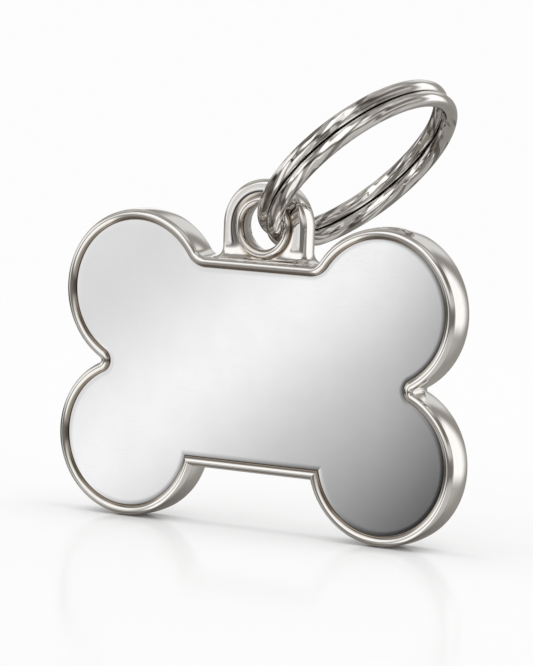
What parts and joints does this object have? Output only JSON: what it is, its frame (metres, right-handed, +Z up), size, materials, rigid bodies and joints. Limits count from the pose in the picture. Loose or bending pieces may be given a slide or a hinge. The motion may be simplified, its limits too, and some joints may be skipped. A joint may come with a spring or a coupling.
{
  "type": "pet id tag",
  "caption": "Bone-shaped pet tag: a cast frame with a rounded rim and hanging lug, an inlaid polished plate for engraving, a pressed eyelet and a swinging split ring.",
  "frame": {"origin": "on the floor, midway between the bone's lobes and under the middle of the split ring as it leans in the picture", "axes": "+X along the bone to its right as seen from the front, +Y from the polished face to the flat back, +Z up from the lower lobes to the hanging lug"},
  "size_m": [0.04, 0.02, 0.0402],
  "materials": {
    "plated_casting": "polished nickel plate on cast zinc",
    "polished_plate": "mirror polished stainless steel",
    "bonding_film": "clear adhesive film",
    "plated_eyelet": "polished nickel plate on brass",
    "ring_wire": "polished nickel plate on spring steel wire"
  },
  "bodies": {
    "tag": {"tag_frame": "plated_casting", "bonding_film": "bonding_film", "face_plate": "polished_plate", "eyelet_bush": "plated_eyelet"},
    "ring": {"split_ring": "ring_wire"}
  },
  "joints": [
    {"name": "ring_swing", "type": "hinge", "parent": "tag", "child": "ring", "pos_m": [0, -0.00396, 0.02675], "axis": [0, -1, 0], "range_deg": [-38.5, 129]}
  ]
}
